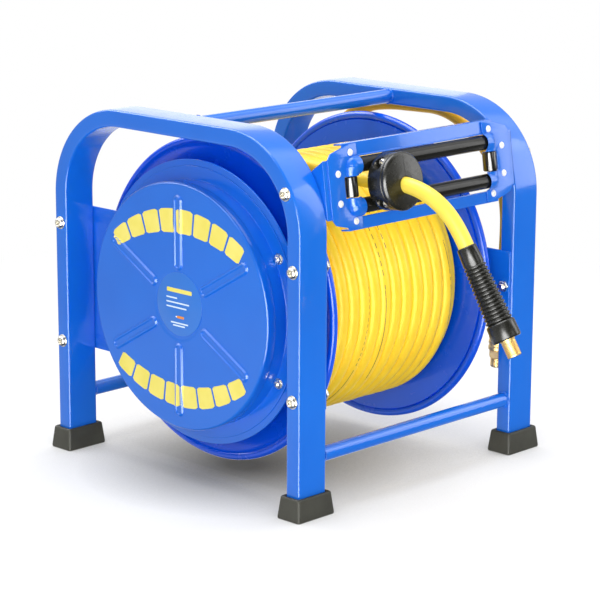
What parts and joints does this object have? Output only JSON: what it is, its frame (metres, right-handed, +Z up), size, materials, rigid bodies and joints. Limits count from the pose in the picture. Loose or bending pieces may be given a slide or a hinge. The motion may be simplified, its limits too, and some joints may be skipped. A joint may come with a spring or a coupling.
{
  "type": "air hose reel",
  "caption": "Freestanding spring-return air hose reel: drum of hose between two bent-tube frames, with a roller guide, spring case, swivel inlet and stop ball",
  "frame": {"origin": "Centre of the footprint of the four rubber feet, on the floor.", "axes": "+X runs along the drum's axle from the spring case to the air inlet, -Y is the front where the hose leaves, +Z is up."},
  "size_m": [0.486, 0.6543, 0.47],
  "materials": {
    "blue_frame": "glossy blue powder coat",
    "blue_sheet": "glossy blue powder coat on steel sheet",
    "foot_rubber": "matt moulded rubber",
    "hose_yellow": "smooth matt yellow hose",
    "black_rubber": "semi-gloss black rubber",
    "black_roller": "black moulded plastic",
    "brass_part": "turned brass",
    "bolt_steel": "bright zinc plate",
    "plain_steel": "turned steel",
    "label_film": "plain light blue plate"
  },
  "bodies": {
    "frame": {"near_frame_tube": "blue_frame", "far_frame_tube": "blue_frame", "top_handle_bar": "blue_frame", "front_lower_bar": "blue_frame", "rear_lower_bar": "blue_frame", "near_support_plate": "blue_sheet", "far_support_plate": "blue_sheet", "spring_case": "blue_sheet", "spring_case_cover": "blue_sheet", "guide_end_plate_left": "blue_sheet", "guide_end_plate_right": "blue_sheet", "guide_bracket_left": "blue_sheet", "guide_bracket_right": "blue_sheet", "guide_top_rail": "blue_sheet", "guide_bottom_rail": "blue_sheet", "near_front_foot": "foot_rubber", "near_rear_foot": "foot_rubber", "far_front_foot": "foot_rubber", "far_rear_foot": "foot_rubber", "hose_run": "hose_yellow", "hose_tail": "hose_yellow", "lead_hose": "hose_yellow", "ball_stop_left_half": "black_rubber", "ball_stop_right_half": "black_rubber", "bend_restrictor": "black_rubber", "inlet_elbow": "brass_part", "lead_hose_nut": "brass_part", "hose_end_fitting": "brass_part", "lead_hose_ferrule": "brass_part", "lead_hose_fitting": "brass_part", "near_bearing": "brass_part", "far_bearing": "brass_part", "leg_bolts": "bolt_steel", "case_screws": "bolt_steel", "guide_rivets": "bolt_steel", "ball_stop_screws": "bolt_steel", "pawl_pin": "plain_steel", "pawl_spring": "plain_steel", "power_spring": "plain_steel", "long_roller_pins": "plain_steel", "side_roller_pins": "plain_steel", "cover_label": "label_film"},
    "drum": {"hollow_shaft": "plain_steel", "drum_barrel": "blue_sheet", "left_flange": "blue_sheet", "right_flange": "blue_sheet", "hose_winding": "hose_yellow", "left_hub_collar": "plain_steel", "right_hub_collar": "plain_steel", "ratchet_wheel": "plain_steel", "spring_arbor": "plain_steel", "drum_outlet_pipe": "plain_steel", "swivel_circlip": "bolt_steel", "swivel_seals": "black_rubber"},
    "upper_roller_body": {"upper_roller": "black_roller"},
    "lower_roller_body": {"lower_roller": "black_roller"},
    "left_roller_body": {"left_side_roller": "black_roller"},
    "right_roller_body": {"right_side_roller": "black_roller"},
    "pawl_body": {"pawl": "plain_steel"}
  },
  "joints": [
    {"name": "drum_spin", "type": "hinge", "parent": "frame", "child": "drum", "pos_m": [0, 0, 0.229], "axis": [1, 0, 0], "range_deg": [0, 9360], "stiffness_Nm_per_rad": 0.104, "springref_deg": -4411.78},
    {"name": "upper_roller_spin", "type": "hinge", "parent": "frame", "child": "upper_roller_body", "pos_m": [0, -0.21555, 0.42634], "axis": [1, 0, 0], "continuous": true},
    {"name": "lower_roller_spin", "type": "hinge", "parent": "frame", "child": "lower_roller_body", "pos_m": [0, -0.22251, 0.37683], "axis": [1, 0, 0], "continuous": true},
    {"name": "left_roller_spin", "type": "hinge", "parent": "frame", "child": "left_roller_body", "pos_m": [-0.131, -0.21903, 0.40158], "axis": [0, 0.1392, 0.9903], "continuous": true},
    {"name": "right_roller_spin", "type": "hinge", "parent": "frame", "child": "right_roller_body", "pos_m": [0.131, -0.21903, 0.40158], "axis": [0, 0.1392, 0.9903], "continuous": true},
    {"name": "pawl_swing", "type": "hinge", "parent": "frame", "child": "pawl_body", "pos_m": [0.154, 0.07, 0.209], "axis": [1, 0, 0], "range_deg": [0, 12], "stiffness_Nm_per_rad": 0.02, "springref_deg": -28.65}
  ]
}
